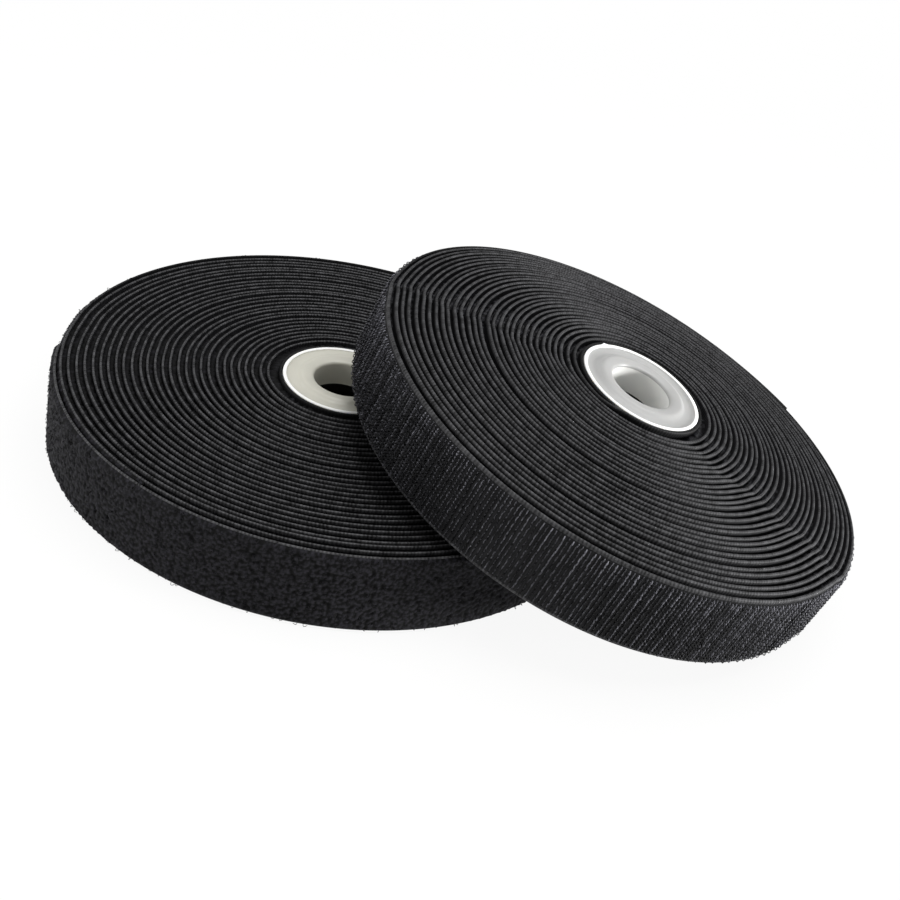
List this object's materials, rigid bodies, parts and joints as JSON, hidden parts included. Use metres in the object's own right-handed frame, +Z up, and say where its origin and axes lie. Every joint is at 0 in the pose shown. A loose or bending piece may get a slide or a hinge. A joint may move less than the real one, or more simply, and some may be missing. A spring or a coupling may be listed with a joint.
{
  "type": "hook and loop tape roll pair",
  "caption": "Pair of black sew-on fastening tape rolls on white plastic cores: a loop roll lying flat with a hook roll leaning on it, tape ends that peel.",
  "frame": {"origin": "on the table under the middle of the pair's footprint", "axes": "+X from the loop roll towards the hook roll's low edge, +Z up"},
  "size_m": [0.248, 0.1738, 0.0636],
  "materials": {
    "loop_tape": "woven nylon, brushed pile outside",
    "hook_tape": "woven nylon, rows of moulded hooks outside",
    "white_core": "natural white moulded polypropylene"
  },
  "bodies": {
    "loop_roll": {"loop_tape_winding": "loop_tape", "loop_tape_inner_turns": "loop_tape", "loop_core_upper_half": "white_core", "loop_core_lower_half": "white_core"},
    "loop_tail_1": {"loop_tape_end_1": "loop_tape"},
    "loop_tail_2": {"loop_tape_end_2": "loop_tape"},
    "loop_tail_3": {"loop_tape_end_3": "loop_tape"},
    "hook_roll": {"hook_tape_winding": "hook_tape", "hook_tape_inner_turns": "hook_tape", "hook_core_upper_half": "white_core", "hook_core_lower_half": "white_core"},
    "hook_tail_1": {"hook_tape_end_1": "hook_tape"},
    "hook_tail_2": {"hook_tape_end_2": "hook_tape"},
    "hook_tail_3": {"hook_tape_end_3": "hook_tape"}
  },
  "joints": [
    {"name": "hook_roll_lift", "type": "slide", "parent": "loop_roll", "child": "hook_roll", "axis": [0, 0, 1], "range_m": [0, 0.12]},
    {"name": "loop_tape_peel_1", "type": "hinge", "parent": "loop_roll", "child": "loop_tail_1", "pos_m": [-0.08068, -0.07615, 0.0125], "axis": [0, 0, 1], "range_deg": [0, 30], "stiffness_Nm_per_rad": 0.001},
    {"name": "loop_tape_peel_2", "type": "hinge", "parent": "loop_tail_1", "child": "loop_tail_2", "pos_m": [-0.09916, -0.0626, 0.0125], "axis": [0, 0, 1], "range_deg": [0, 30], "stiffness_Nm_per_rad": 0.001},
    {"name": "loop_tape_peel_3", "type": "hinge", "parent": "loop_tail_2", "child": "loop_tail_3", "pos_m": [-0.11351, -0.04471, 0.0125], "axis": [0, 0, 1], "range_deg": [0, 30], "stiffness_Nm_per_rad": 0.001},
    {"name": "hook_tape_peel_1", "type": "hinge", "parent": "hook_roll", "child": "hook_tail_1", "pos_m": [0.04444, 0.08082, 0.03163], "axis": [0.247, 0, 0.969], "range_deg": [0, 30], "stiffness_Nm_per_rad": 0.001},
    {"name": "hook_tape_peel_2", "type": "hinge", "parent": "hook_tail_1", "child": "hook_tail_2", "pos_m": [0.06459, 0.07817, 0.02648], "axis": [0.247, 0, 0.969], "range_deg": [0, 30], "stiffness_Nm_per_rad": 0.001},
    {"name": "hook_tape_peel_3", "type": "hinge", "parent": "hook_tail_2", "child": "hook_tail_3", "pos_m": [0.0834, 0.07021, 0.02166], "axis": [0.247, 0, 0.969], "range_deg": [0, 30], "stiffness_Nm_per_rad": 0.001}
  ],
  "couplings": [
    {"joint": "loop_tape_peel_2", "follows": "loop_tape_peel_1", "ratio": 1},
    {"joint": "loop_tape_peel_3", "follows": "loop_tape_peel_1", "ratio": 1},
    {"joint": "hook_tape_peel_2", "follows": "hook_tape_peel_1", "ratio": 1},
    {"joint": "hook_tape_peel_3", "follows": "hook_tape_peel_1", "ratio": 1}
  ]
}
